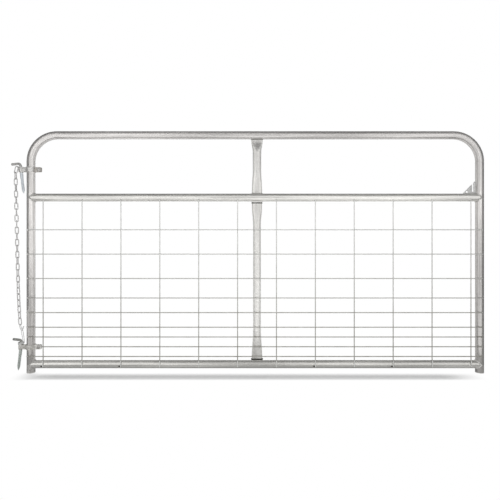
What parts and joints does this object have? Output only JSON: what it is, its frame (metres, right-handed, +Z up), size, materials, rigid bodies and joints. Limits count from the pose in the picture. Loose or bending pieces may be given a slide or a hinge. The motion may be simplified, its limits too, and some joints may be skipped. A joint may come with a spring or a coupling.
{
  "type": "field gate",
  "caption": "Tubular steel field gate with a graded wire infill, bolted strap hinges, loose screw hooks and a hanging latch chain.",
  "frame": {"origin": "under the middle of the whole gate, hinge hooks included, on the plane of the open tube ends, half way through the tubes", "axes": "+X from the hinge side to the latch side, +Y to the back (the infill wires are on the front, at -Y), +Z up"},
  "size_m": [2.4873, 0.0497, 1.27],
  "materials": {
    "tube_zinc": "galvanised steel tube, bright along its length, rough at the welds",
    "wire_zinc": "galvanised steel wire",
    "keeper_zinc": "galvanised steel plate, sheared edges",
    "hinge_zinc": "zinc-plated bent strap and fasteners",
    "hook_zinc": "zinc-plated steel rod, faint blue-green tint",
    "chain_zinc": "zinc-plated welded chain",
    "tie_wire": "bright soft steel wire"
  },
  "bodies": {
    "gate": {"frame_tube": "tube_zinc", "middle_rail": "tube_zinc", "bottom_rail": "tube_zinc", "upper_stay": "tube_zinc", "lower_stay": "tube_zinc", "horizontal_wire_1": "wire_zinc", "horizontal_wire_2": "wire_zinc", "horizontal_wire_3": "wire_zinc", "horizontal_wire_4": "wire_zinc", "horizontal_wire_5": "wire_zinc", "horizontal_wire_6": "wire_zinc", "horizontal_wire_7": "wire_zinc", "horizontal_wire_8": "wire_zinc", "horizontal_wire_9": "wire_zinc", "vertical_wire_1": "wire_zinc", "vertical_wire_2": "wire_zinc", "vertical_wire_3": "wire_zinc", "vertical_wire_4": "wire_zinc", "vertical_wire_5": "wire_zinc", "vertical_wire_6": "wire_zinc", "vertical_wire_7": "wire_zinc", "vertical_wire_8": "wire_zinc", "vertical_wire_9": "wire_zinc", "vertical_wire_10": "wire_zinc", "vertical_wire_11": "wire_zinc", "vertical_wire_12": "wire_zinc", "latch_keeper": "keeper_zinc", "upper_hinge_strap": "hinge_zinc", "lower_hinge_strap": "hinge_zinc", "upper_hinge_bolt": "hinge_zinc", "lower_hinge_bolt": "hinge_zinc", "upper_hinge_washer": "hinge_zinc", "lower_hinge_washer": "hinge_zinc", "upper_hinge_nut": "hinge_zinc", "lower_hinge_nut": "hinge_zinc"},
    "upper_hook": {"upper_hook": "hook_zinc"},
    "lower_hook": {"lower_hook": "hook_zinc"},
    "chain": {"latch_chain": "chain_zinc", "upper_tie": "tie_wire", "lower_tie": "tie_wire"}
  },
  "joints": [
    {"name": "upper_hook_turn", "type": "hinge", "parent": "gate", "child": "upper_hook", "pos_m": [-1.19352, 0, 1.068], "axis": [0, 0, 1], "range_deg": [-60, 60]},
    {"name": "lower_hook_turn", "type": "hinge", "parent": "gate", "child": "lower_hook", "pos_m": [-1.19352, 0, 0.135], "axis": [0, 0, 1], "range_deg": [-60, 60]},
    {"name": "chain_swing", "type": "hinge", "parent": "gate", "child": "chain", "pos_m": [-1.19352, 0, 0.6015], "axis": [0, 0, 1], "range_deg": [-60, 60]}
  ]
}
